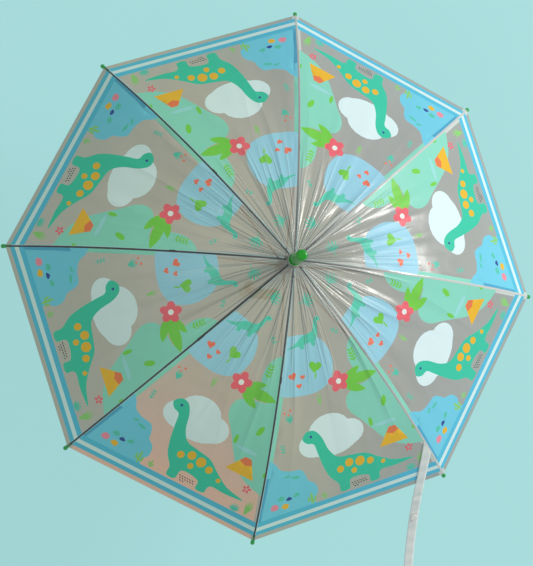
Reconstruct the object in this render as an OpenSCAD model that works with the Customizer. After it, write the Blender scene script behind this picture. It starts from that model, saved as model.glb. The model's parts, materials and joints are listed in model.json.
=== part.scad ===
// Children's dome umbrella, shown open. Millimetres, +Z along the shaft towards the ferrule.
// The origin is the middle of the hand grip, on the shaft's axis. Rib 1 points along +Y, and the
// others follow clockwise seen from above.

/* [Canopy] */
// Length of each rib along its curve, from its eye to its end
rib_len = 450; // [420:5:480]
// Slope of a rib at the rim, in degrees below level
rim_slope = 41; // [36:1:44]
// Mean slope of the stretch from the notch to the stretcher's joint
chord_slope = 13; // [12:1:15]
// Thickness of the canopy film as drawn
film_t = 0.6; // [0.4:0.1:1]

/* [Frame] */
// Distance along the rib from its eye to the stretcher's joint
joint_s = 165; // [155:1:175]
// Diameter of the rib and stretcher rods
rod_d = 2.8; // [2.4:0.1:3]
// Radius of the ring on which the ribs and the stretchers hinge
ring_r = 9; // [9:0.5:10]
// Angle that the ribs' inner stretch keeps from the shaft when the canopy is shut
shut_angle = 4.5; // [4:0.5:6]

/* [Shaft and handle] */
// Outside diameter of the shaft tube
shaft_d = 10; // [9:0.5:10]
// Height of the notch's hinge ring above the middle of the grip
notch_z = 513; // [490:1:540]
// Length of the straight grip
grip_len = 90; // [80:1:100]
// Diameter of the grip
grip_d = 20; // [19:0.5:22]
// Radius of the crook, to its centre line
crook_r = 28; // [26:1:34]

/* [Ferrule and tips] */
// Diameter of the ferrule cap
ferrule_d = 16; // [14:0.5:18]
// Height of the ferrule cap
ferrule_h = 60; // [45:1:65]
// Diameter of the cap on the end of each rib
tip_d = 6.8; // [6.2:0.2:8]

/* [Closure strap] */
// Width of the strap
strap_w = 15; // [12:1:20]
// Length of the strap along its curve
strap_len = 250; // [220:5:270]
// Distance along the strap from its welded end to the snap
snap_at = 155; // [130:1:180]

/* [Hidden] */
COUNT = 8;

// The curve of a rib: a circular arc that steepens evenly from the notch to the rim.
bend = (rim_slope - chord_slope) / (rib_len - joint_s / 2);
arc_r = 180 / (PI * bend);
function slope(s) = rim_slope - bend * (rib_len - s);
// A point of the rib's plane at arc length s, moved outwards from the rod's axis by off.
function on_rib(s, off = 0) = [
    ring_r + arc_r * (sin(slope(s)) - sin(slope(0))) + off * sin(slope(s)),
    notch_z + arc_r * (cos(slope(s)) - cos(slope(0))) + off * cos(slope(s))];

// The linkage: the rib's inner stretch and the stretcher are equally long, and both hinge on rings
// of one radius, so the runner stays on the shaft's axis at every angle.
joint_drop = 4.2;
hinge = [ring_r, notch_z];
joint = on_rib(joint_s, -joint_drop);
link = norm(joint - hinge);
link_slope = asin((hinge[1] - joint[1]) / link);
runner_z = notch_z - 2 * link * sin(link_slope);
fold_angle = 90 - shut_angle - link_slope;
flex_s = rib_len / 2;
shut_runner_z = notch_z - 2 * link * sin(90 - shut_angle);

// Hubs, eyes and wires
hub_r = ring_r + 2.5;
slot_r = 6.4;
slot_w = 2.6;
eye_t = 2;
eye_r = 2.2;
eye_bore = 1.2;
neck_len = 5.6;
wire_d = 0.9;
hub_below = 4;
hub_above = 3.5;
sleeve_d = 15.2;
sleeve_len = 30;
run_gap = 0.08;
window_z = -24;
window_h = 11;

// Stretcher joint: a tab under the rib between the two cheeks of a fork
tab_t = 1.6;
cheek_t = 0.9;
cheek_gap = 0.3;
rivet_d = 1.6;
cheek_r = 1.8;
clip_len = 9;
clip_d = 4.4;

// Flex point in the middle of a rib: a small ball in a cup
ball_d = 3.4;
cup_gap = 0.3;

// Film: it clears the rods by film_off and rises to the ferrule over the notch
film_off = 2.8;
film_end_s = rib_len - 3.5;
crown_r = 5.8;
crown_z = notch_z + hub_above + 0.5;
half = 180 / COUNT;
edge_gap = 0.3;
film_rows = [for (s = [22 : 35 : 407]) s];

wall = 0.7;
tube_top = notch_z + 36;
cap_z = crown_z + film_t + 1.2;
catch_az = half;
catch_len = 20;
catch_t = 1.2;
strap_t = 0.6;
strap_rib = 4;
strap_turn = -39;
strap_start_s = rib_len - 80;
strap_gap = 0.8;
strap_film_steps = 6;
strap_free_steps = 12;
strap_off = film_off + film_t + 0.4 + strap_t / 2;
strap_lift = 22;
untwist_len = 50;
// How fast the rib's curve is followed along the strap and across it
lean = cos(strap_turn) - sin(strap_turn) * tan(half);
cross_lean = -sin(strap_turn) - cos(strap_turn) * tan(half);

function azimuth(i) = 90 - (i - 1) * 360 / COUNT;

// Places its children, drawn in the X-Z plane of a rib, at rib i.
module at_rib(i) {
    rotate([0, 0, azimuth(i)]) children();
}

// A round rod that follows the rib's curve between two arc lengths.
module arc_rod(from, to, d) {
    centre = on_rib(0) - arc_r * [sin(slope(0)), cos(slope(0))];
    translate([centre[0], 0, centre[1]])
        rotate([90, 0, 0])
            rotate([0, 0, 90 - slope(to)])
                rotate_extrude(angle = slope(to) - slope(from), $fn = 360)
                    translate([arc_r, 0])
                        circle(d = d, $fn = 32);
}

// Places its children at a point of the rib's plane, with +X along the rod towards the rim.
module along_rib(point, tilt) {
    translate([point[0], 0, point[1]])
        rotate([0, tilt, 0]) children();
}

// A disc across the rib's plane, centred on the origin.
module cross_disc(d, t) {
    rotate([90, 0, 0]) cylinder(d = d, h = t, center = true, $fn = 32);
}

// The eye and flat neck with which a rod hangs on a wire ring, +X towards the rod.
module eye_end() {
    difference() {
        union() {
            cross_disc(2 * eye_r, eye_t);
            translate([0, -eye_t / 2, -1.4]) cube([neck_len + 3, eye_t, 2.8]);
        }
        cross_disc(eye_bore, 2 * eye_t);
    }
}

module rib_inner(i) {
    color([0.07, 0.07, 0.08]) at_rib(i) {
        along_rib(on_rib(0), slope(0)) eye_end();
        difference() {
            arc_rod(neck_len, flex_s, rod_d);
            along_rib(on_rib(flex_s), slope(flex_s)) sphere(d = ball_d + 2 * cup_gap, $fn = 32);
        }
    }
}

module rib_outer(i) {
    color([0.07, 0.07, 0.08]) at_rib(i) {
        arc_rod(flex_s, rib_len, rod_d);
        along_rib(on_rib(flex_s), slope(flex_s)) sphere(d = ball_d, $fn = 32);
    }
}

// Clip crimped round the rib, with the tab that the stretcher's fork turns on.
module rib_joint(i) {
    color([0.10, 0.10, 0.11]) at_rib(i)
        along_rib(on_rib(joint_s), slope(joint_s)) difference() {
            union() {
                translate([-clip_len / 2, 0, 0])
                    rotate([0, 90, 0]) cylinder(d = clip_d, h = clip_len, $fn = 32);
                translate([-cheek_r, -tab_t / 2, -joint_drop]) cube([2 * cheek_r, tab_t, joint_drop]);
                translate([0, 0, -joint_drop]) cross_disc(2 * cheek_r, tab_t);
            }
            translate([0, 0, -joint_drop]) cross_disc(rivet_d + 0.1, 2 * tab_t);
            translate([-clip_len, 0, 0])
                rotate([0, 90, 0]) cylinder(d = rod_d + 0.02, h = 2 * clip_len, $fn = 32);
        }
}

// Rod with an eye on the runner's ring and a riveted fork at the rib's tab.
module stretcher(i) {
    cheek_y = tab_t / 2 + cheek_gap;
    color([0.62, 0.64, 0.66]) at_rib(i)
        along_rib([ring_r, runner_z], -link_slope) {
            eye_end();
            translate([neck_len, 0, 0])
                rotate([0, 90, 0]) cylinder(d = rod_d, h = link - neck_len - 5, $fn = 32);
            translate([link - 7, -cheek_y - cheek_t, -rod_d / 2])
                cube([2.4, 2 * (cheek_y + cheek_t), rod_d]);
            for (side = [-1, 1])
                translate([0, side * (cheek_y + cheek_t / 2), 0]) {
                    translate([link - 7, -cheek_t / 2, -rod_d / 2]) cube([7, cheek_t, rod_d]);
                    translate([link, 0, 0]) cross_disc(2 * cheek_r, cheek_t);
                }
            translate([link, 0, 0]) cross_disc(rivet_d, 2 * (cheek_y + cheek_t) + 0.6);
        }
}

// Moulded tip: a stem pushed over the rib's end, and a rounded cap that stands past the film's corner.
module rib_tip(i) {
    stem = 11;
    neck = 2.6;
    head = 8 - tip_d / 2;
    color([0.10, 0.62, 0.20]) at_rib(i)
        along_rib(on_rib(rib_len), slope(rib_len)) difference() {
            union() {
                translate([head, 0, 0]) sphere(d = tip_d, $fn = 40);
                translate([-neck, 0, 0])
                    rotate([0, 90, 0]) cylinder(d1 = 5, d2 = tip_d, h = neck + head, $fn = 40);
                translate([-stem, 0, 0]) rotate([0, 90, 0]) cylinder(d = rod_d + 1.8, h = stem, $fn = 32);
            }
            translate([-stem - 1, 0, 0])
                rotate([0, 90, 0]) cylinder(d = rod_d + 0.2, h = stem + 1.1, $fn = 32);
        }
}

// The film's inner and outer outline in a rib's plane, row by row from the crown to the rim.
function film_points() = concat(
    [[[crown_r, crown_z], [crown_r, crown_z + film_t]],
     [[hub_r + 1, crown_z], [hub_r + 1, crown_z + film_t]]],
    [for (s = concat(film_rows, [film_end_s])) [on_rib(s, film_off), on_rib(s, film_off + film_t)]]);

// The point that a side of the sector (-1, 0 or 1) puts beside a point of the rib's plane: the film
// runs straight from rib to rib, and a sector ends halfway.
function beside(p, side) =
    let (reach = abs(side) * (p[0] * sin(half) - edge_gap))
    [p[0] - reach * sin(half), side * reach * cos(half), p[1]];

// One eighth of the canopy, from midway to midway with its rib in the middle.
module canopy_sector(i) {
    rows = film_points();
    last = len(rows) - 1;
    points = [for (row = rows) for (skin = [0, 1]) for (side = [-1, 0, 1]) beside(row[skin], side)];
    function at(row, skin, side) = row * 6 + skin * 3 + side + 1;
    function strip(skin, side) =
        [for (k = [0 : last - 1])
            let (a = at(k, skin, side), b = at(k, skin, side + 1),
                 c = at(k + 1, skin, side + 1), d = at(k + 1, skin, side))
            skin == 0 ? [a, b, c, d] : [d, c, b, a]];
    function flank(side) =
        [for (k = [0 : last - 1])
            let (a = at(k, 0, side), b = at(k, 1, side),
                 c = at(k + 1, 1, side), d = at(k + 1, 0, side))
            side < 0 ? [a, d, c, b] : [a, b, c, d]];
    function cap(row) =
        [for (side = [-1, 0])
            let (a = at(row, 0, side), b = at(row, 0, side + 1),
                 c = at(row, 1, side + 1), d = at(row, 1, side))
            row == 0 ? [a, d, c, b] : [a, b, c, d]];
    faces = concat(strip(0, -1), strip(0, 0), strip(1, -1), strip(1, 0),
                   flank(-1), flank(1), cap(0), cap(last));
    color([0.75, 0.88, 0.86, 0.5]) at_rib(i) polyhedron(points, faces);
}

module shaft_tube() {
    slot_w_catch = catch_t + 0.6;
    color([0.86, 0.87, 0.88]) difference() {
        translate([0, 0, -grip_len / 2 + 6])
            cylinder(d = shaft_d, h = tube_top + grip_len / 2 - 6, $fn = 64);
        translate([0, 0, -grip_len / 2 + 5])
            cylinder(d = shaft_d - 2 * wall, h = tube_top + grip_len / 2, $fn = 64);
        rotate([0, 0, catch_az]) {
            translate([2, -slot_w_catch / 2, top_catch_z() - catch_len - 1])
                cube([6, slot_w_catch, catch_len + 2]);
            translate([2, -slot_w_catch / 2, bottom_catch_z() - 1])
                cube([6, slot_w_catch, catch_len + 2]);
        }
    }
}

// Height of the top catch's shoulder, just under the raised runner.
function top_catch_z() = runner_z - hub_below - sleeve_len - 0.4;
// Height of the bottom catch's shoulder, just above the lower edge of the lowered runner's window.
function bottom_catch_z() = shut_runner_z + window_z + 0.4;

// The catch's blade: a flat wedge, its shoulder at the origin and its pivot up the +Z way.
module catch_blade() {
    rotate([90, 0, 0]) linear_extrude(catch_t, center = true)
        polygon([[1, 0], [7.4, 0], [7.4, 1.5], [4, 14], [4, catch_len], [1.6, catch_len]]);
}

module top_catch() {
    color([0.72, 0.74, 0.76]) rotate([0, 0, catch_az])
        translate([0, 0, top_catch_z()]) mirror([0, 0, 1]) catch_blade();
}

module bottom_catch() {
    color([0.72, 0.74, 0.76]) rotate([0, 0, catch_az])
        translate([0, 0, bottom_catch_z()]) catch_blade();
}

// The radial slots that the eyes turn in, cut from z upwards.
module eye_slots(z, h) {
    for (i = [1:COUNT])
        at_rib(i) translate([slot_r, -slot_w / 2, z]) cube([hub_r, slot_w, h]);
}

module ring_groove() {
    rotate_extrude($fn = 64) translate([ring_r, 0]) circle(d = wire_d + 0.1, $fn = 24);
}

module top_notch() {
    color([0.93, 0.93, 0.92]) translate([0, 0, notch_z]) difference() {
        union() {
            translate([0, 0, -hub_below]) cylinder(r = hub_r, h = hub_below + hub_above, $fn = 64);
            translate([0, 0, -hub_below - 9]) cylinder(r = slot_r, h = 10, $fn = 64);
        }
        translate([0, 0, -20]) cylinder(d = shaft_d, h = 40, $fn = 64);
        eye_slots(-hub_below - 1, hub_below + 1 + 2.5);
        ring_groove();
    }
}

module wire_ring(z) {
    color([0.70, 0.72, 0.74]) translate([0, 0, z])
        rotate_extrude($fn = 64) translate([ring_r, 0]) circle(d = wire_d, $fn = 24);
}

// Sliding hub with slots open upwards, a sleeve, a window for the bottom catch and a thumb flange.
module runner() {
    color([0.93, 0.93, 0.92]) translate([0, 0, runner_z]) difference() {
        union() {
            translate([0, 0, -hub_below]) cylinder(r = hub_r, h = 2 * hub_below - 0.5, $fn = 64);
            translate([0, 0, -hub_below - sleeve_len]) cylinder(d = sleeve_d, h = sleeve_len + 1, $fn = 64);
            translate([0, 0, -hub_below - sleeve_len]) cylinder(d = sleeve_d + 4.8, h = 3, $fn = 64);
        }
        translate([0, 0, -50]) cylinder(d = shaft_d + 2 * run_gap, h = 100, $fn = 64);
        eye_slots(-2.5, 20);
        ring_groove();
        rotate([0, 0, catch_az]) translate([3, -1.2, window_z]) cube([8, 2.4, window_h]);
    }
}

module crown_washer() {
    color([0.88, 0.90, 0.90]) translate([0, 0, crown_z + film_t + 0.1]) difference() {
        cylinder(d = 19, h = 1, $fn = 64);
        translate([0, 0, -1]) cylinder(d = shaft_d, h = 3, $fn = 64);
    }
}

module ferrule_cap() {
    round_r = 4;
    body_r = ferrule_d / 2;
    color([0.06, 0.60, 0.12]) translate([0, 0, cap_z]) difference() {
        union() {
            cylinder(r = body_r + 1, h = 3, $fn = 64);
            cylinder(r = body_r - 1, h = 8, $fn = 64);
            translate([0, 0, 6]) cylinder(r = body_r, h = ferrule_h - 6 - round_r, $fn = 64);
            translate([0, 0, ferrule_h - round_r])
                rotate_extrude($fn = 64) intersection() {
                    union() {
                        translate([body_r - round_r, 0]) circle(r = round_r, $fn = 48);
                        translate([0, -round_r]) square([body_r - round_r, 2 * round_r]);
                    }
                    translate([0, -1]) square([body_r + 1, round_r + 2]);
                }
        }
        translate([0, 0, -1]) cylinder(d = shaft_d, h = tube_top - cap_z + 1.2, $fn = 64);
    }
}

// Straight grip and crook in one moulding, with a collar where the shaft enters.
module handle() {
    collar_h = 8;
    end_rise = 14;
    color([0.10, 0.62, 0.20]) difference() {
        union() {
            translate([0, 0, -grip_len / 2]) cylinder(d = grip_d, h = grip_len, $fn = 64);
            translate([0, 0, grip_len / 2 - collar_h]) cylinder(d = grip_d + 3, h = collar_h, $fn = 64);
            translate([0, 0, grip_len / 2]) cylinder(d1 = grip_d, d2 = shaft_d + 3, h = 5, $fn = 64);
            translate([crook_r, 0, -grip_len / 2]) {
                rotate([90, 0, 0]) rotate([0, 0, 180])
                    rotate_extrude(angle = 180, $fn = 96) translate([crook_r, 0]) circle(d = grip_d, $fn = 48);
                translate([crook_r, 0, 0]) cylinder(d = grip_d, h = end_rise, $fn = 64);
                translate([crook_r, 0, end_rise]) sphere(d = grip_d, $fn = 64);
            }
        }
        translate([0, 0, -grip_len / 2 + 6]) cylinder(d = shaft_d, h = grip_len + 10, $fn = 64);
    }
}

// The strap starts on the seam over the rib, cut off along it. It lies on the film to the rim, and
// past the rim it stands out, levels off and untwists. All of it is worked out as [along the strap,
// height], with the strap's first point on the seam.
strap_origin = on_rib(strap_start_s, strap_off);
strap_x = strap_origin[0] + strap_gap * tan(half);
strap_centre = on_rib(0) - arc_r * [sin(slope(0)), cos(slope(0))];
function strap_over_film(u, v) =
    let (x = strap_x + u * lean + v * cross_lean - strap_centre[0])
    strap_centre[1] + sqrt(pow(arc_r + strap_off, 2) - pow(x, 2));
strap_rim_u = (on_rib(film_end_s, strap_off)[0] - strap_x) / lean;
strap_rim_z = strap_over_film(strap_rim_u, 0);
strap_slope = atan(lean * tan(slope(film_end_s)));
film_run = norm([strap_rim_u, strap_rim_z - strap_over_film(0, 0)]);
free_step = (strap_len - film_run) / strap_free_steps;
function free_fall(k) = strap_slope - strap_lift * k / strap_free_steps;
function strap_free(k) =
    k == 0 ? [strap_rim_u, strap_rim_z]
    : strap_free(k - 1) + free_step * [cos(free_fall(k)), -sin(free_fall(k))];
rim_cross = (strap_over_film(strap_rim_u, 1) - strap_over_film(strap_rim_u, -1)) / 2;
// A point of the strap's middle surface: row k, and v across it
function strap_point(k, v) =
    k <= strap_film_steps
    ? let (start = -v / tan(strap_turn), u = start + (strap_rim_u - start) * k / strap_film_steps)
        [u, v, strap_over_film(u, v)]
    : let (p = strap_free(k - strap_film_steps), run = (k - strap_film_steps) * free_step)
        [p[0], v, p[1] + v * rim_cross * max(0, 1 - run / untwist_len)];
snap_k = round((snap_at - film_run) / free_step);
snap_point = strap_free(snap_k);
snap_fall = free_fall(snap_k);

// Places its children, drawn in the X-Z plane with X outwards, on the strap's heading.
module at_strap() {
    at_rib(strap_rib) translate([strap_origin[0], -strap_gap, 0]) rotate([0, 0, strap_turn]) children();
}

module at_snap() {
    at_strap() translate([snap_point[0], 0, snap_point[1]]) rotate([0, snap_fall, 0]) children();
}

module closure_strap() {
    last = strap_film_steps + strap_free_steps;
    points = [for (k = [0:last]) for (corner = [[-1, -1], [1, -1], [1, 1], [-1, 1]])
        strap_point(k, corner[0] * strap_w / 2) + [0, 0, corner[1] * strap_t / 2]];
    faces = concat([[0, 1, 2, 3], [for (c = [3:-1:0]) 4 * last + c]],
                   [for (k = [0 : last - 1]) for (c = [0:3]) for (turn = [0, 1])
                       let (a = 4 * k + c, b = 4 * k + (c + 1) % 4)
                       turn == 0 ? [a, a + 4, b + 4] : [a, b + 4, b]]);
    color([0.90, 0.93, 0.92]) at_strap() polyhedron(points, faces);
}

// Press snap: a cap above the strap, a post through it and a socket ring below.
module snap_fastener() {
    color([0.94, 0.94, 0.92]) at_snap() {
        translate([0, 0, 0.5]) cylinder(d = 12.5, h = 1.2, $fn = 48);
        translate([0, 0, 1.7]) cylinder(d1 = 12.5, d2 = 9, h = 1, $fn = 48);
        translate([0, 0, -1.4]) cylinder(d = 3.8, h = 2.4, $fn = 32);
        translate([0, 0, -2.8]) cylinder(d = 10, h = 2.3, $fn = 48);
    }
}

shaft_tube();
ferrule_cap();
crown_washer();
top_notch();
wire_ring(notch_z);  // notch_wire
top_catch();
bottom_catch();
handle();
runner();
wire_ring(runner_z);  // runner_wire
closure_strap();
snap_fastener();
for (i = [1:COUNT]) {
    rib_inner(i);
    rib_outer(i);
    rib_joint(i);
    stretcher(i);
    rib_tip(i);
    canopy_sector(i);
}
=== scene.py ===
import json
import math

import bpy
from mathutils import Matrix, Vector
from mathutils.geometry import delaunay_2d_cdt


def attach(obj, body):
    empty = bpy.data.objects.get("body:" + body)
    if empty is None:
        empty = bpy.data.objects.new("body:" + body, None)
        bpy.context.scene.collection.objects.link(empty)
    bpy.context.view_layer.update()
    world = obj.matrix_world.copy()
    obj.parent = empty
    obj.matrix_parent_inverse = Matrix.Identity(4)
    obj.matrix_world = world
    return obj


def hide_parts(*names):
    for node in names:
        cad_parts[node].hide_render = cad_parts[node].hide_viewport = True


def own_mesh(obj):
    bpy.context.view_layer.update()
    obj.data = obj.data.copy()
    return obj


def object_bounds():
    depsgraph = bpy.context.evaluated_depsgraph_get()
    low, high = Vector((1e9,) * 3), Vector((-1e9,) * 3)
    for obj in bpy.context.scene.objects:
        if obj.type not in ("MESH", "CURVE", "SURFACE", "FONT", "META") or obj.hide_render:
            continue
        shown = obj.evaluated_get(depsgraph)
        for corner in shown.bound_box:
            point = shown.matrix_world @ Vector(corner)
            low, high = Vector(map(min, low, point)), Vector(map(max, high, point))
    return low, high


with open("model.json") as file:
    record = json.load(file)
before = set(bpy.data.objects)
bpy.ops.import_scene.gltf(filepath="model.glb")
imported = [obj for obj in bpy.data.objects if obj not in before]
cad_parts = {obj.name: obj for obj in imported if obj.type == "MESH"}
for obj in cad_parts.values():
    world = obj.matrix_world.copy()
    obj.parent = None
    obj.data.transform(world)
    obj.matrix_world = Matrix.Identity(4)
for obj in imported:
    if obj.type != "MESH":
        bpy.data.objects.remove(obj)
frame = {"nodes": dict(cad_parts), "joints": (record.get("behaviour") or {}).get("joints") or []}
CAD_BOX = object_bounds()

MM = 0.001
RIBS = 8
HALF = math.pi / RIBS
JOINTS = {j["name"]: j for j in frame["joints"]}

# The curve of a rib, as the design has it: an arc that steepens evenly from the notch to the rim.
RIB_LEN, JOINT_S, FLEX_S = 0.450, 0.165, 0.225
RIM_SLOPE, CHORD_SLOPE = math.radians(41), math.radians(13)
BEND = (RIM_SLOPE - CHORD_SLOPE) / (RIB_LEN - JOINT_S / 2)
ARC_R = 1 / BEND
NOTCH = Vector(JOINTS["canopy_fold"]["pos_m"])
RING_R, NOTCH_Z = math.hypot(NOTCH.x, NOTCH.y), NOTCH.z
# The film: its height over the rods, its crown and its rim
FILM_OFF = 0.0030
CROWN_R, CROWN_FLAT_R, CROWN_Z = 0.0058, 0.0125, NOTCH_Z + 0.0043
FILM_END_S = RIB_LEN - 0.0035


def slope(s):
    return RIM_SLOPE - BEND * (RIB_LEN - s)


def on_rib(s, off=0.0):
    """(distance from the shaft's axis, height) of a point off the rib's rod at arc length s."""
    start = slope(0)
    return (RING_R + ARC_R * (math.sin(slope(s)) - math.sin(start)) + off * math.sin(slope(s)),
            NOTCH_Z + ARC_R * (math.cos(slope(s)) - math.cos(start)) + off * math.cos(slope(s)))


ARC_CENTRE = (RING_R - ARC_R * math.sin(slope(0)), NOTCH_Z - ARC_R * math.cos(slope(0)))
TENT_S = 0.022
TENT = on_rib(TENT_S, FILM_OFF)
RIM_X = on_rib(FILM_END_S, FILM_OFF)[0]
RIM_P = RIM_X * math.cos(HALF)
RING_P = on_rib(FLEX_S, FILM_OFF)[0] * math.cos(HALF)


def film_height(x):
    """Height of the film over a rib at distance x from the shaft's axis."""
    if x <= CROWN_FLAT_R:
        return CROWN_Z
    if x < TENT[0]:
        t = (x - CROWN_FLAT_R) / (TENT[0] - CROWN_FLAT_R)
        return CROWN_Z + (TENT[1] - CROWN_Z) * t
    return ARC_CENTRE[1] + math.sqrt((ARC_R + FILM_OFF) ** 2 - (x - ARC_CENTRE[0]) ** 2)


def azimuth(i):
    """Azimuth of rib i, from 1 to RIBS, clockwise from +Y."""
    return math.pi / 2 - (i - 1) * 2 * HALF


def around(angle, out, side, z):
    """The point out metres from the axis along an azimuth, side metres across it."""
    c, s = math.cos(angle), math.sin(angle)
    return Vector((out * c - side * s, out * s + side * c, z))


# ---------------------------------------------------------------- camera, light and floor

PHOTO_W = 533
CAMERA_AZ, CAMERA_TILT, CAMERA_ROLL = math.radians(215.45), math.radians(9.78), math.radians(4.64)
CAMERA_DISTANCE, FOCAL_PX, SENSOR = 1.65, 1118.0, 36.0
LOOK_AT = Vector((-0.0248, -0.0279, 0.430))
LIGHTS_AIM = Vector((0, 0, 0.4))
FLOOR_REACH, FLOOR_GAP = 6.0, 0.001


def make_camera():
    back = Vector((math.sin(CAMERA_TILT) * math.cos(CAMERA_AZ),
                   math.sin(CAMERA_TILT) * math.sin(CAMERA_AZ), math.cos(CAMERA_TILT)))
    right = Vector((0, 1, 0)).cross(back).normalized()
    up = back.cross(right)
    rolled = right * math.cos(CAMERA_ROLL) + up * math.sin(CAMERA_ROLL)
    up = up * math.cos(CAMERA_ROLL) - right * math.sin(CAMERA_ROLL)
    data = bpy.data.cameras.new("camera")
    data.sensor_fit, data.sensor_width = "HORIZONTAL", SENSOR
    data.lens = FOCAL_PX / PHOTO_W * SENSOR
    camera = bpy.data.objects.new("camera", data)
    bpy.context.scene.collection.objects.link(camera)
    place = LOOK_AT + back * CAMERA_DISTANCE
    axes = Matrix((rolled, up, back)).transposed().to_4x4()
    camera.matrix_world = Matrix.Translation(place) @ axes
    bpy.context.scene.camera = camera
    # colours are shown as the materials state them
    bpy.context.scene.view_settings.view_transform = "Standard"


def make_light(name, place, size, watts, colour):
    data = bpy.data.lights.new(name, "AREA")
    data.shape, data.size, data.energy, data.color = "DISK", size, watts, colour
    light = bpy.data.objects.new(name, data)
    bpy.context.scene.collection.objects.link(light)
    place = Vector(place)
    light.location = place
    light.rotation_euler = (place - LIGHTS_AIM).to_track_quat("Z", "Y").to_euler()


def make_stage():
    floor_z = CAD_BOX[0][2] - FLOOR_GAP
    mesh = bpy.data.meshes.new("floor")
    corners = ((-1, -1), (1, -1), (1, 1), (-1, 1))
    mesh.from_pydata([(x * FLOOR_REACH, y * FLOOR_REACH, floor_z) for x, y in corners], [], [(0, 1, 2, 3)])
    floor = bpy.data.objects.new("floor", mesh)
    bpy.context.scene.collection.objects.link(floor)
    paint(floor, floor_paint())
    world = bpy.data.worlds.new("studio")
    world.use_nodes = True
    world.node_tree.nodes["Background"].inputs["Color"].default_value = (0.95, 0.98, 1.0, 1)
    world.node_tree.nodes["Background"].inputs["Strength"].default_value = 0.48
    bpy.context.scene.world = world
    make_light("key", (2.4, 1.2, 2.2), 1.0, 70, (1.0, 0.985, 0.95))
    make_light("fill", (-1.6, -1.2, 2.4), 2.4, 8, (0.97, 0.98, 1.0))


# ---------------------------------------------------------------- materials


def srgb(r, g, b):
    """A colour given from 0 to 255, as the linear values that a shader takes."""
    return tuple((c / 255 / 12.92) if c <= 10 else ((c / 255 + 0.055) / 1.055) ** 2.4 for c in (r, g, b)) + (1.0,)


class Nodes:
    """A short way to write a node tree."""

    def __init__(self, tree):
        self.tree = tree

    def add(self, kind, values=(), **settings):
        node = self.tree.nodes.new(kind)
        for name, value in settings.items():
            setattr(node, name, value)
        for socket, value in dict(values).items():
            if isinstance(value, bpy.types.NodeSocket):
                self.tree.links.new(value, node.inputs[socket])
            else:
                node.inputs[socket].default_value = value
        return node

    def math(self, operation, *values):
        return self.add("ShaderNodeMath", enumerate(values), operation=operation).outputs[0]

    def mix(self, factor, a, b, blend="MIX"):
        node = self.add("ShaderNodeMix", {0: factor, 6: a, 7: b}, data_type="RGBA", blend_type=blend)
        return node.outputs[2]


def material(name, build, **surface):
    """A new material: build(nodes, shader) links its detail, and surface sets the shader's plain values."""
    made = bpy.data.materials.new(name)
    made.use_nodes = True
    nodes = Nodes(made.node_tree)
    shader = made.node_tree.nodes["Principled BSDF"]
    for socket, value in surface.items():
        shader.inputs[socket.replace("_", " ")].default_value = value
    build(nodes, shader)
    return made


def link(nodes, shader, **sockets):
    for socket, value in sockets.items():
        nodes.tree.links.new(value, shader.inputs[socket.replace("_", " ")])


def paint(obj, *materials):
    obj.data.materials.clear()
    for each in materials:
        obj.data.materials.append(each)


def floor_paint():
    def build(nodes, shader):
        place = nodes.add("ShaderNodeTexCoord").outputs["Object"]
        mottle = nodes.add("ShaderNodeTexNoise", {"Vector": place, "Scale": 3.0, "Detail": 3.0}).outputs["Fac"]
        colour = nodes.mix(mottle, srgb(84, 112, 112), srgb(87, 115, 114))
        # seen from below it is clear, so that the canopy's underside can be looked at
        below = nodes.add("ShaderNodeNewGeometry").outputs["Backfacing"]
        link(nodes, shader, Base_Color=colour, Alpha=nodes.math("SUBTRACT", 1.0, below))
    return material("floor", build, Roughness=0.95, Specular_IOR_Level=0.1,
                    Emission_Color=srgb(168, 219, 219), Emission_Strength=0.80)


def film_relief(nodes, strength):
    """The film's folds, which fan out from the crown, and its slight ripple.

    Returns the normal, how far a point lies on a fold's crest, the object coordinates, and how far
    it lies on the sunlit side."""
    place = nodes.add("ShaderNodeTexCoord").outputs["Object"]
    x, y = nodes.add("ShaderNodeSeparateXYZ", {0: place}).outputs[:2]
    flat = nodes.add("ShaderNodeCombineXYZ", {0: x, 1: y, 2: 0.0}).outputs[0]
    out = nodes.add("ShaderNodeVectorMath", {0: flat}, operation="LENGTH").outputs["Value"]
    turn = nodes.math("ARCTAN2", y, x)

    def folds(per_turn, along, power):
        # the two halves of the turn's cut, at -X, are hidden by a rib
        polar = nodes.add("ShaderNodeCombineXYZ", {0: nodes.math("MULTIPLY", turn, per_turn),
                                                   1: nodes.math("MULTIPLY", out, along), 2: per_turn}).outputs[0]
        wave = nodes.add("ShaderNodeTexNoise", {"Vector": polar, "Scale": 1.0, "Detail": 1.5,
                                                "Roughness": 0.5}).outputs["Fac"]
        crest = nodes.add("ShaderNodeMapRange", {"Value": nodes.math("ABSOLUTE", nodes.math("SUBTRACT", wave, 0.5)),
                                                 "From Min": 0.0, "From Max": 0.13, "To Min": 1.0, "To Max": 0.0})
        return nodes.math("POWER", crest.outputs[0], power)

    def reach(near, far, least):
        return nodes.add("ShaderNodeMapRange", {"Value": out, "From Min": near, "From Max": far,
                                                "To Min": 1.0, "To Max": least}).outputs[0]

    crest = nodes.math("MULTIPLY", folds(8.0, 3.0, 4.5), reach(0.03, 0.20, 0.0))
    broad = nodes.math("MULTIPLY", folds(4.0, 2.5, 1.3), reach(0.06, 0.36, 0.10))
    ripple = nodes.add("ShaderNodeTexNoise", {"Vector": flat, "Scale": 16.0, "Detail": 2.0}).outputs["Fac"]
    height = nodes.math("ADD", nodes.math("ADD", crest, broad), nodes.math("MULTIPLY", ripple, 0.8))
    bump = nodes.add("ShaderNodeBump", {"Height": height, "Strength": strength, "Distance": 0.0035})
    # side is 0 on the canopy's shaded left and 1 on its sunlit right: the mask for painted light and shade
    across = nodes.math("ADD", nodes.math("MULTIPLY", x, 0.94), nodes.math("MULTIPLY", y, 0.34))
    side = nodes.add("ShaderNodeMapRange", {"Value": across, "From Min": -0.06, "From Max": 0.16}).outputs[0]
    return bump.outputs["Normal"], crest, place, side


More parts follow.
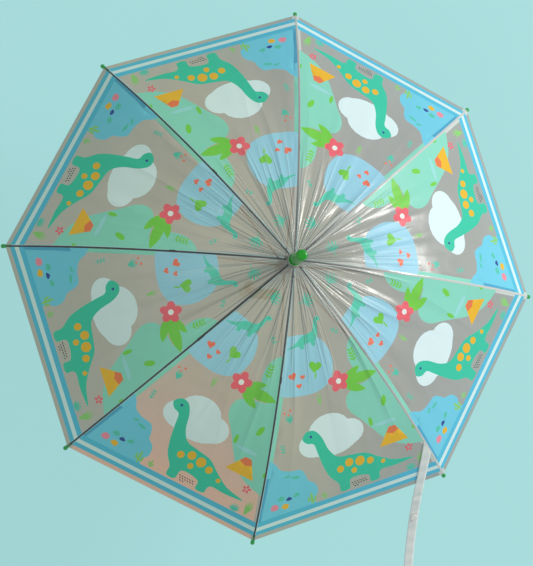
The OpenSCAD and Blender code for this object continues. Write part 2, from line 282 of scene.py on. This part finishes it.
def film_paint(name, left, right, alpha, haze=0.0, rim=None):
    """Clear film: left and right are its tints on the shaded and the sunlit side of the canopy, painted
    shade and painted light, alpha the two opacities, and rim a tint that it turns to towards the rim."""
    def build(nodes, shader):
        normal, crest, place, side = film_relief(nodes, 0.9)
        # painted light and shade: the tint goes from the left colour on the canopy's shaded side to the right colour
        # on its sunlit side
        tint = nodes.mix(side, left, right)
        if rim:
            drop = nodes.add("ShaderNodeSeparateXYZ", {0: place}).outputs[2]
            tint = nodes.mix(nodes.add("ShaderNodeMapRange", {"Value": drop, "From Min": 0.485,
                                                              "From Max": 0.37}).outputs[0], tint, rim)
        cloud = nodes.add("ShaderNodeTexNoise", {"Vector": place, "Scale": 9.0, "Detail": 4.0}).outputs["Fac"]
        tint = nodes.mix(nodes.math("MULTIPLY", cloud, 0.22), tint, srgb(205, 205, 198))
        # whitened fold crests: partly the film's whitish fold lines, partly a painted highlight that is stronger on
        # the sunlit side
        lit = nodes.math("MULTIPLY", crest, nodes.add("ShaderNodeMapRange", {"Value": side, "To Min": 0.22,
                                                                             "To Max": 0.85}).outputs[0])
        tint = nodes.mix(lit, tint, srgb(244, 243, 238))
        clear = nodes.add("ShaderNodeMapRange", {"Value": side, "To Min": alpha[0], "To Max": alpha[1]}).outputs[0]
        link(nodes, shader, Base_Color=tint, Normal=normal, Alpha=clear)
        if haze:
            rough = nodes.add("ShaderNodeMapRange", {"Value": cloud, "To Min": 0.16, "To Max": 0.16 + haze})
            link(nodes, shader, Roughness=rough.outputs[0])
    return material(name, build, Roughness=0.22, Specular_IOR_Level=0.5)


def ink_paint(name, colour, alpha=0.97):
    """Print on the film: even ink with a faint mottle, whitened fold crests that are partly painted highlight, painted
    shade on the canopy's shaded side and the film's own gloss.
    """
    def build(nodes, shader):
        normal, crest, place, side = film_relief(nodes, 0.7)
        fine = nodes.add("ShaderNodeTexNoise", {"Vector": place, "Scale": 260.0, "Detail": 2.0}).outputs["Fac"]
        broad = nodes.add("ShaderNodeTexNoise", {"Vector": place, "Scale": 7.0, "Detail": 2.0}).outputs["Fac"]
        dark = tuple(c * 0.84 for c in colour[:3]) + (1.0,)
        tone = nodes.mix(nodes.math("MULTIPLY", broad, 0.5), colour, dark)
        tone = nodes.mix(nodes.math("MULTIPLY", fine, 0.03), tone, (1, 1, 1, 1))
        # whitened fold crests: partly the film's whitish fold lines, partly painted highlight
        tone = nodes.mix(nodes.math("MULTIPLY", crest, 0.25), tone, (1, 1, 1, 1))
        # painted shade: the ink is darkened and tinted on the canopy's shaded side, by the side mask
        shaded = nodes.mix(1.0, tone, (0.93, 0.97, 0.86, 1), "MULTIPLY")
        tone = nodes.mix(side, shaded, tone)
        link(nodes, shader, Base_Color=tone, Normal=normal)
    return material(name, build, Alpha=alpha, Roughness=0.34, Specular_IOR_Level=0.16)


def plastic_paint(name, colour, roughness=0.28):
    """Moulded plastic: a flow mottle, a fine skin and small scuffs in its gloss."""
    def build(nodes, shader):
        place = nodes.add("ShaderNodeTexCoord").outputs["Object"]
        flow = nodes.add("ShaderNodeTexNoise", {"Vector": place, "Scale": 60.0, "Detail": 3.0}).outputs["Fac"]
        skin = nodes.add("ShaderNodeTexNoise", {"Vector": place, "Scale": 900.0, "Detail": 2.0}).outputs["Fac"]
        scuff = nodes.add("ShaderNodeTexNoise", {"Vector": place, "Scale": 180.0, "Detail": 6.0,
                                                 "Roughness": 0.75}).outputs["Fac"]
        dark = tuple(c * 0.8 for c in colour[:3]) + (1.0,)
        tone = nodes.mix(flow, colour, dark)
        rough = nodes.add("ShaderNodeMapRange", {"Value": scuff, "From Min": 0.35, "From Max": 0.75,
                                                 "To Min": roughness * 0.8, "To Max": roughness * 1.6}).outputs[0]
        bump = nodes.add("ShaderNodeBump", {"Height": skin, "Strength": 0.12, "Distance": 0.0004})
        link(nodes, shader, Base_Color=tone, Roughness=rough, Normal=bump.outputs["Normal"])
    return material(name, build, Coat_Weight=0.25, Coat_Roughness=0.12)


def metal_paint(name, colour, roughness, grain=(1, 1, 40)):
    """Drawn or plated metal, with fine marks along Z by default."""
    def build(nodes, shader):
        place = nodes.add("ShaderNodeTexCoord").outputs["Object"]
        mapped = nodes.add("ShaderNodeMapping", {"Vector": place, "Scale": grain}).outputs[0]
        marks = nodes.add("ShaderNodeTexNoise", {"Vector": mapped, "Scale": 60.0, "Detail": 5.0}).outputs["Fac"]
        dark = tuple(c * 0.75 for c in colour[:3]) + (1.0,)
        tone = nodes.mix(marks, colour, dark)
        rough = nodes.add("ShaderNodeMapRange", {"Value": marks, "To Min": roughness * 0.6,
                                                 "To Max": roughness * 1.5}).outputs[0]
        bump = nodes.add("ShaderNodeBump", {"Height": marks, "Strength": 0.08, "Distance": 0.0003})
        link(nodes, shader, Base_Color=tone, Roughness=rough, Normal=bump.outputs["Normal"])
    return material(name, build, Metallic=1.0)


def lacquer_paint(name, colour):
    """Black lacquer on a rod: slightly uneven gloss."""
    def build(nodes, shader):
        place = nodes.add("ShaderNodeTexCoord").outputs["Object"]
        spots = nodes.add("ShaderNodeTexNoise", {"Vector": place, "Scale": 300.0, "Detail": 4.0}).outputs["Fac"]
        tone = nodes.mix(spots, colour, tuple(c * 1.8 for c in colour[:3]) + (1.0,))
        rough = nodes.add("ShaderNodeMapRange", {"Value": spots, "To Min": 0.22, "To Max": 0.5}).outputs[0]
        bump = nodes.add("ShaderNodeBump", {"Height": spots, "Strength": 0.1, "Distance": 0.0002})
        link(nodes, shader, Base_Color=tone, Roughness=rough, Normal=bump.outputs["Normal"])
    return material(name, build)


# ---------------------------------------------------------------- outlines of the print, in millimetres
# A panel's print is laid out as seen from above with the crown at the top: (across, down), where across
# is 0 midway between the ribs, and down is the distance from the shaft's axis to the rim's side.


def curve_through(points, steps=4):
    """A closed smooth curve through a few points."""
    out, n = [], len(points)
    for k in range(n):
        a, b, c, d = (points[(k + j) % n] for j in (-1, 0, 1, 2))
        for step in range(steps):
            t = step / steps
            out.append(tuple(0.5 * (2 * b[m] + (c[m] - a[m]) * t + (2 * a[m] - 5 * b[m] + 4 * c[m] - d[m]) * t * t
                                    + (3 * b[m] - a[m] - 3 * c[m] + d[m]) * t ** 3) for m in (0, 1)))
    return out


def turned(points, at, degrees=0.0, scale=1.0):
    c, s = math.cos(math.radians(degrees)) * scale, math.sin(math.radians(degrees)) * scale
    return [(at[0] + x * c - y * s, at[1] + x * s + y * c) for x, y in points]


def oval(at, across, down, degrees=0.0, steps=20):
    ring = [(across * math.cos(2 * math.pi * k / steps), down * math.sin(2 * math.pi * k / steps))
            for k in range(steps)]
    return turned(ring, at, degrees)


def leaf(at, length, width, degrees=0.0):
    """A pointed leaf that grows from at."""
    side = [(width / 2 * math.sin(math.pi * t / 6) ** 0.8, -length * t / 6) for t in range(7)]
    back = [(-x, y) for x, y in reversed(side[1:-1])]
    return turned(side + back, at, degrees)


def heart(at, size, degrees=0.0):
    shape = []
    for k in range(22):
        t = 2 * math.pi * k / 22
        x = 16 * math.sin(t) ** 3
        y = -(13 * math.cos(t) - 5 * math.cos(2 * t) - 2 * math.cos(3 * t) - math.cos(4 * t))
        shape.append((x * size / 32, y * size / 32))
    return turned(shape, at, degrees)


def fan(at, length, width, degrees, count, spread):
    """Leaves that fan out from one point."""
    first = degrees - spread / 2
    return [leaf(at, length * (0.8 + 0.2 * math.sin(math.pi * k / (count - 1))), width,
                 first + spread * k / (count - 1)) for k in range(count)]


def sprig(at, length, degrees, pairs=4):
    """A stem with pairs of small leaves."""
    out = [leaf(at, length, 1.1, degrees)]
    for k in range(1, pairs + 1):
        along = length * k / (pairs + 1)
        base = turned([(0, -along)], at, degrees)[0]
        out += [leaf(base, length * 0.28, length * 0.10, degrees + side * 48) for side in (-1, 1)]
    return out


def cactus(at, height):
    arm = height * 0.42
    return [oval((at[0], at[1] - height / 2), height * 0.11, height / 2, 0, 14),
            oval((at[0] - height * 0.26, at[1] - height * 0.52), height * 0.08, arm / 2, 0, 12),
            oval((at[0] + height * 0.26, at[1] - height * 0.42), height * 0.08, arm / 2, 0, 12),
            oval((at[0] - height * 0.14, at[1] - height * 0.36), height * 0.16, height * 0.07, 0, 12),
            oval((at[0] + height * 0.14, at[1] - height * 0.27), height * 0.16, height * 0.07, 0, 12)]


# a plain long-necked dinosaur, facing left with its feet at y = 0, for a height of 100
DINOSAUR = curve_through([(-52, -92), (-44, -100), (-33, -98), (-25, -86), (-19, -66), (-8, -52), (12, -48),
                          (32, -44), (50, -32), (72, -20), (100, -14), (74, -11), (54, -12), (48, -8), (47, 1),
                          (34, 1), (32, -10), (16, -14), (4, -12), (2, 1), (-11, 1), (-13, -12), (-24, -26),
                          (-31, -46), (-35, -66), (-38, -80), (-47, -84)])


def print_layers():
    """(ink, outline) from the lowest layer to the topmost."""
    layers = []

    def put(ink, *outlines):
        layers.extend((ink, outline) for outline in outlines)

    rim, tan = RIM_P / MM, math.tan(HALF)
    wide = rim * tan + 20
    # the large fields: pond, hills and the pale field above
    put("hill", curve_through([(62, 122), (45, 131), (38, 150), (42, 172), (54, 190), (90, 198), (110, 160),
                               (90, 126)]))
    put("hill", curve_through([(34, 202), (22, 214), (24, 232), (40, 252), (58, 276), (76, 296), (104, 311),
                               (150, 318), (190, 314), (190, 240), (110, 190), (70, 194)]))
    # the next panel's print shows through where the two overlap along the left rib
    put("hill", [(-wide, 126), (-126 * tan + 8, 126), (-314 * tan + 8, 314), (-wide, 314)])
    put("pond", curve_through([(-wide, 258), (-118, 264), (-103, 272), (-96, 285), (-82, 292), (-66, 295), (-60, 306),
                               (-58, 315), (-48, 324), (-46, 338), (-53, 348), (-54, 360), (-90, 366), (-wide, 366)]))
    put("pond_dark", [(-wide, 292), (-292 * tan + 7, 292), (-356 * tan + 6, 356), (-wide, 356)])
    put("sky", curve_through([(-84, 116), (-62, 104), (-38, 101), (-12, 106), (6, 118), (14, 138), (14, 160), (4, 180),
                              (-18, 189), (-46, 187), (-72, 178), (-88, 150)]))
    put("cloud", oval((-36, 264), 26, 20), oval((-12, 250), 32, 25), oval((16, 262), 24, 20),
        oval((-10, 272), 38, 18))
    # leaves near the crown and small plants
    put("teal", *fan((-5, 60), 18, 2.3, 84, 6, 112), leaf((-3, 60), 11, 1.3, 264))
    put("teal", *sprig((20, 106), 18, 128, 2))
    put("leaf", *sprig((47, 166), 24, -8, 4))
    put("grass", *fan((-17, 210), 20, 1.6, 0, 3, 26))
    put("teal", *fan((-66, 222), 16, 2.0, 0, 5, 60))
    put("coral", *[oval(at, size, size, 0, 10) for at, size in
                   (((-71, 205), 1.6), ((-62, 203), 1.8), ((-66, 209), 1.4))])
    put("teal", *sprig((-86, 266), 18, 4, 3))
    put("leaf", oval((77, 233), 4.2, 8.0, 12), oval((52, 258), 3.0, 7.0, -6), oval((118, 284), 3.4, 7.0, 20))
    put("leaf", heart((-12, 153), 19, 24), leaf((-12, 160), 12, 2.4, 200))
    put("coral", heart((-47, 157), 12, -12), heart((-33, 162), 7.5, 14), heart((-41, 173), 8.5, 4))
    # a small plain dinosaur, a flower with leaves, a hill with a coral top
    put("small_dino", turned([(-x, y) for x, y in DINOSAUR], (-8, 123), 0, 0.38))
    put("navy", oval((7.2, 88), 0.9, 0.9, 0, 8))
    put("leaf", leaf((22, 189), 54, 16, 88), leaf((22, 192), 36, 12, 116), leaf((22, 187), 34, 11, 62))
    put("rose", *[oval(turned([(0, -8)], (17, 184), k * 72)[0], 6, 8, k * 72) for k in range(5)])
    put("white", oval((17, 184), 4, 4))
    put("mist", oval((74, 266), 18, 3))
    put("lava_rock", [(60, 302), (78, 275), (88, 275), (106, 302)])
    put("lava", [(73, 283), (78, 275), (88, 275), (93, 283), (83, 287)])
    # the large plain dinosaur, with round spots
    put("big_dino", turned(DINOSAUR, (2, 350), 0, 1.08))
    put("sun", *[oval((x, y), size, size) for x, y, size in
                 ((-6, 315, 5.5), (9, 309, 6.5), (26, 312, 7.5), (42, 317, 5.5), (15, 324, 4.5), (62, 325, 3.5))])
    put("navy", oval((-41, 251), 2, 2))
    # stones in the pond, plants by the rim and a patch of dots
    put("pink", curve_through([(-123, 342), (-118, 336), (-111, 338), (-111, 344), (-118, 346)], 3))
    put("teal", curve_through([(-110, 331), (-104, 326), (-98, 330), (-102, 334)], 3))
    put("navy", curve_through([(-97, 335), (-92, 331), (-87, 335), (-92, 337)], 3))
    put("sun", curve_through([(-106, 345), (-101, 340), (-94, 343), (-98, 349)], 3))
    put("teal", curve_through([(-85, 333), (-79, 328), (-74, 332), (-80, 335)], 3))
    put("teal", *[oval((-76, 304), 7, 2.2, 14, 14), oval((-88, 299), 5, 1.8, -10, 12)])
    put("grass", *cactus((-57, 356), 20), *cactus((-37, 354), 13))
    put("grass", *fan((123, 354), 26, 2.8, 0, 4, 34))
    put("teal", *fan((105, 355), 13, 2.6, 0, 6, 120))
    put("rose", *[oval(turned([(0, -4)], (105, 317), k * 72)[0], 1.8, 2.6, k * 72, 10) for k in range(5)])
    put("black", *[oval((9 + 4.2 * (k % 6) + 2.0 * (k // 6), 343 + 3.4 * (k // 6)), 1.5, 0.8, 20, 8)
                   for k in range(14)])
    # the striped hem
    for ink, top, bottom in (("stripe_blue", 0.9300, 0.9503), ("stripe_white", 0.9503, 0.9662),
                             ("stripe_blue", 0.9662, 0.9830)):
        put(ink, [(-wide, rim * top), (wide, rim * top), (wide, rim * bottom), (-wide, rim * bottom)])
    return layers


INKS = {
    "pond": srgb(112, 206, 232), "pond_dark": srgb(76, 166, 204), "mist": srgb(156, 220, 222),
    "hill": srgb(138, 217, 196), "sky": srgb(156, 212, 235), "cloud": srgb(222, 242, 245),
    "teal": srgb(84, 200, 176), "leaf": srgb(118, 208, 62), "grass": srgb(140, 206, 110),
    "coral": srgb(245, 118, 88), "small_dino": srgb(88, 208, 184), "navy": srgb(34, 62, 150),
    "sun": srgb(240, 184, 8), "rose": srgb(240, 98, 112), "white": srgb(240, 246, 242),
    "black": srgb(30, 32, 34), "big_dino": srgb(46, 200, 166), "pink": srgb(240, 140, 160),
    "lava_rock": srgb(240, 184, 8), "lava": srgb(236, 120, 66),
    "stripe_blue": srgb(80, 190, 222), "stripe_white": srgb(216, 238, 238),
}
SEAM_LINE, SEAM_BAND = 0.0019, 0.0058
PANEL_ROWS = 56
SEAM_ROOM = 1.3  # a seam's edge starts where half the panel is this many times its inset

# ---------------------------------------------------------------- the film


def is_inside(outline, x, y):
    inside = False
    for (ax, ay), (bx, by) in zip(outline, outline[1:] + outline[:1]):
        if (ay > y) != (by > y) and x < ax + (y - ay) * (bx - ax) / (by - ay):
            inside = not inside
    return inside


def panel_cut():
    """One panel of the canopy, cut up along its print: (points in metres, triangles, ink of each triangle)."""
    rim, tan = RIM_P / MM, math.tan(HALF)
    points, edges = [], []

    def chain(line, closed=False):
        first = len(points)
        points.extend(line)
        count = len(line)
        edges.extend((first + k, first + (k + 1) % count) for k in range(count if closed else count - 1))
        return list(range(first, first + count))

    crown = CROWN_R * math.cos(HALF) / MM
    rows = [crown + (rim - crown) * k / PANEL_ROWS for k in range(PANEL_ROWS + 1)]
    for side in (-1, 1):
        chain([(side * p * tan, p) for p in rows])
        for inset in (SEAM_LINE, SEAM_BAND):
            chain([(side * (p * tan - inset / MM), p) for p in rows if p * tan > inset / MM * SEAM_ROOM])
    chain([(0, p) for p in rows])
    for across in (crown, RING_P / MM, rim):
        reach, n = across * tan, max(2, int(across * tan / 4))
        chain([(reach * (2 * k / n - 1), across) for k in range(n + 1)])
    layers = []
    for ink, outline in print_layers():
        chain(outline, True)
        layers.append((ink, outline, min(x for x, y in outline), max(x for x, y in outline),
                       min(y for x, y in outline), max(y for x, y in outline)))

    def ink_at(x, y):
        for ink, outline, left, right, top, bottom in reversed(layers):
            if left <= x <= right and top <= y <= bottom and is_inside(outline, x, y):
                return ink
        return "film"

    for p in rows[1:]:
        n = int(p * tan / 7)
        for k in range(-n, n + 1):
            points.append((k * p * tan / (n + 0.5), p + (1.5 if k % 2 else -1.5) if p < rim - 3 else p - 2))
    verts, _, tris = delaunay_2d_cdt([Vector(p) for p in points], edges, [], 0, 1e-4, False)[:3]
    kept, inks = [], []
    for tri in tris:
        x = sum(verts[v][0] for v in tri) / 3
        p = sum(verts[v][1] for v in tri) / 3
        if abs(x) > p * tan + 1e-6 or p > rim + 1e-6 or p < crown - 1e-6:
            continue
        to_rib = p * tan - abs(x)
        ink = ink_at(x, p)
        if to_rib < SEAM_LINE / MM:
            ink = "seam"
        elif ink == "film" and to_rib < SEAM_BAND / MM:
            ink = "seam_edge"
        kept.append(tuple(tri))
        inks.append((ink, x, p))
    return [(v[0] * MM, v[1] * MM) for v in verts], kept, inks


def film_piece(i, part, cut, palette):
    """The canopy's film round rib i: its inner or outer part, out to midway to the next ribs."""
    flat, tris, inks = cut
    verts, index, faces, slots = [], {}, [], []
    for side in (1, -1):
        # the panel on the rib's left holds the rib at its right edge, and the other way round
        middle = azimuth(i) - side * HALF
        for tri, (ink, x, p) in zip(tris, inks):
            if x * side < 0 or (p * MM > RING_P) != (part == "outer"):
                continue
            warm = ink == "film" and round(math.degrees(middle)) % 360 == WARM_PANEL
            corner = []
            for v in tri:
                place = around(middle, flat[v][1], flat[v][0], film_height(flat[v][1] / math.cos(HALF)))
                key = tuple(round(c, 6) for c in place)
                if key not in index:
                    index[key] = len(verts)
                    verts.append(place)
                corner.append(index[key])
            if len(set(corner)) == 3:
                faces.append(corner)
                slots.append("film_warm" if warm else ink)
    mesh = bpy.data.meshes.new(f"film_{part}_{i}")
    mesh.from_pydata(verts, [], faces)
    used = [name for name in palette if name in set(slots)]
    for name in used:
        mesh.materials.append(palette[name])
    mesh.polygons.foreach_set("material_index", [used.index(name) for name in slots])
    mesh.polygons.foreach_set("use_smooth", [True] * len(faces))
    mesh.update()
    film = bpy.data.objects.new(f"film_{part}_{i}", mesh)
    bpy.context.scene.collection.objects.link(film)
    return film


WARM_PANEL = 248  # azimuth of the panel with the warm background, in whole degrees


def make_canopy():
    palette = {
        # the films' left tints are painted shade for the canopy's shaded side, their right tints painted light for its
        # sunlit side
        "film": film_paint("film", srgb(176, 163, 136), srgb(156, 150, 146), (0.88, 0.88), 0.2),
        "film_warm": film_paint("film_warm", srgb(176, 163, 136), srgb(160, 152, 146), (0.88, 0.88), 0.2,
                                srgb(236, 172, 132)),
        # the seams: dark and see-through on the shaded side, so that the black rods show, as painted shade; near white
        # and opaque on the sunlit side, as a painted glare that hides the rods
        "seam": film_paint("seam", srgb(84, 84, 80), srgb(206, 208, 204), (0.40, 0.93)),
        "seam_edge": film_paint("seam_edge", srgb(172, 166, 148), srgb(208, 210, 206), (0.9, 0.94), 0.1),
    }
    palette.update({name: ink_paint(name, colour) for name, colour in INKS.items()})
    cut = panel_cut()
    for i in range(1, RIBS + 1):
        for part, body in (("inner", f"rib_{i}"), ("outer", f"rib_end_{i}")):
            film = film_piece(i, part, cut, palette)
            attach(film, body)
            if part == "inner":
                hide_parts(f"canopy_sector_{i}")
            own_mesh(film)


# ---------------------------------------------------------------- the hard parts


def dress_nodes():
    finishes = {
        "shaft_tube": metal_paint("plated_tube", srgb(214, 216, 220), 0.16, (40, 40, 1)),
        "ferrule_cap": plastic_paint("ferrule_green", srgb(14, 158, 26), 0.24),
        "rib_tip": plastic_paint("tip_green", srgb(46, 168, 70), 0.3),
        "handle": plastic_paint("handle_green", srgb(20, 150, 36), 0.22),
        "crown_washer": plastic_paint("washer_white", srgb(220, 224, 222), 0.3),
        "top_notch": plastic_paint("hub_white", srgb(232, 232, 228), 0.34),
        "runner": plastic_paint("runner_white", srgb(236, 236, 232), 0.3),
        "notch_wire": metal_paint("wire_steel", srgb(170, 172, 176), 0.3),
        "top_catch": metal_paint("spring_steel", srgb(188, 190, 194), 0.25),
        "rib_": lacquer_paint("rib_black", srgb(18, 18, 20)),
        "stretcher": lacquer_paint("stretcher_black", srgb(26, 26, 28)),
        "snap_fastener": plastic_paint("snap_white", srgb(238, 238, 234), 0.2),
    }
    finishes["runner_wire"] = finishes["notch_wire"]
    finishes["bottom_catch"] = finishes["top_catch"]
    for name, obj in frame["nodes"].items():
        best = max((key for key in finishes if name.startswith(key)), key=len, default=None)
        if best:
            paint(obj, finishes[best])


# The strap's route, as the design has it: from the seam over rib 4, over the film and past the rim.
STRAP_RIB, STRAP_TURN, STRAP_START_S, STRAP_GAP = 4, math.radians(-39), RIB_LEN - 0.080, 0.0008
STRAP_W, STRAP_LEN, STRAP_OFF, STRAP_LIFT, UNTWIST = 0.015, 0.250, 0.0041, math.radians(22), 0.050
STRAP_THICK = 0.0005


def strap_places(along_steps=150, across_steps=6):
    """The strap's middle surface as rows of points, one row for each step along it."""
    tan = math.tan(HALF)
    lean = math.cos(STRAP_TURN) - math.sin(STRAP_TURN) * tan
    lean_across = -math.sin(STRAP_TURN) - math.cos(STRAP_TURN) * tan
    start = on_rib(STRAP_START_S, STRAP_OFF)
    first_x = start[0] + STRAP_GAP * tan

    def over_film(u, v):
        return ARC_CENTRE[1] + math.sqrt((ARC_R + STRAP_OFF) ** 2
                                         - (first_x + u * lean + v * lean_across - ARC_CENTRE[0]) ** 2)

    rim_u = (on_rib(FILM_END_S, STRAP_OFF)[0] - first_x) / lean
    rim_z = over_film(rim_u, 0)
    film_run = math.hypot(rim_u, rim_z - over_film(0, 0))
    free_run = STRAP_LEN - film_run
    rim_fall = math.atan(lean * math.tan(slope(FILM_END_S)))
    rim_cross = (over_film(rim_u, 0.001) - over_film(rim_u, -0.001)) / 0.002
    on_film = round(along_steps * film_run / STRAP_LEN)
    free_steps = along_steps - on_film
    rows, u, z = [], rim_u, rim_z
    for k in range(along_steps + 1):
        row = []
        if k > on_film:
            part = (k - on_film) / free_steps
            fall = rim_fall - STRAP_LIFT * part
            u, z = u + free_run / free_steps * math.cos(fall), z - free_run / free_steps * math.sin(fall)
        for c in range(across_steps + 1):
            v = STRAP_W * (c / across_steps - 0.5)
            if k <= on_film:
                begin = -v / math.tan(STRAP_TURN)
                at = begin + (rim_u - begin) * k / on_film
                place = (at, v, over_film(at, v))
            else:
                place = (u, v, z + v * rim_cross * max(0.0, 1 - part * free_run / UNTWIST))
            # soft cross creases, strongest where the strap leaves the rim
            run = STRAP_LEN * k / along_steps
            crease = math.sin(run * 310 + v * 60) * math.sin(run * 97 + 1) * math.exp(-((run - 0.11) / 0.05) ** 2)
            row.append((place[0], place[1], place[2] + 0.0007 * crease * (k > on_film)))
        rows.append(row)
    turn = azimuth(STRAP_RIB)
    base = Matrix.Rotation(turn, 4, "Z") @ Matrix.Translation((start[0], -STRAP_GAP, 0)) @ \
        Matrix.Rotation(STRAP_TURN, 4, "Z")
    return [[base @ Vector(place) for place in row] for row in rows]


def make_strap():
    """The closure strap: a flat ribbon of frosted film with welded edges."""
    rows = strap_places()
    across = len(rows[0])
    verts = [place for row in rows for place in row]
    faces = [(k * across + c, (k + 1) * across + c, (k + 1) * across + c + 1, k * across + c + 1)
             for k in range(len(rows) - 1) for c in range(across - 1)]
    mesh = bpy.data.meshes.new("strap_ribbon")
    mesh.from_pydata(verts, [], faces)
    edge = material("strap_edge", strap_build(srgb(240, 246, 244), srgb(226, 236, 234)), Alpha=0.97, Roughness=0.22)
    body = material("strap_film", strap_build(srgb(240, 243, 240), srgb(216, 225, 221)), Alpha=0.94, Roughness=0.32)
    mesh.materials.append(body)
    mesh.materials.append(edge)
    at_edge = [int(n % (across - 1) in (0, across - 2)) for n in range(len(faces))]
    mesh.polygons.foreach_set("material_index", at_edge)
    mesh.polygons.foreach_set("use_smooth", [True] * len(faces))
    strap = bpy.data.objects.new("strap_ribbon", mesh)
    bpy.context.scene.collection.objects.link(strap)
    solid = strap.modifiers.new("thickness", "SOLIDIFY")
    solid.thickness, solid.offset = STRAP_THICK, 0
    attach(strap, "strap")
    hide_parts("closure_strap")


def strap_build(light, dark):
    def build(nodes, shader):
        place = nodes.add("ShaderNodeTexCoord").outputs["Object"]
        grain = nodes.add("ShaderNodeTexNoise", {"Vector": place, "Scale": 700.0, "Detail": 2.0}).outputs["Fac"]
        broad = nodes.add("ShaderNodeTexNoise", {"Vector": place, "Scale": 55.0, "Detail": 3.0}).outputs["Fac"]
        bands = nodes.add("ShaderNodeTexWave", {"Vector": place, "Scale": 16.0, "Distortion": 3.5, "Detail": 2.0},
                          bands_direction="Y").outputs["Fac"]
        tone = nodes.mix(nodes.math("MULTIPLY", nodes.math("ADD", broad, bands), 0.5), light, dark)
        height = nodes.math("ADD", nodes.math("MULTIPLY", grain, 0.15), nodes.math("MULTIPLY", bands, 0.6))
        bump = nodes.add("ShaderNodeBump", {"Height": height, "Strength": 0.35, "Distance": 0.001})
        link(nodes, shader, Base_Color=tone, Normal=bump.outputs["Normal"])
    return build


make_camera()
make_stage()
make_canopy()
dress_nodes()
make_strap()
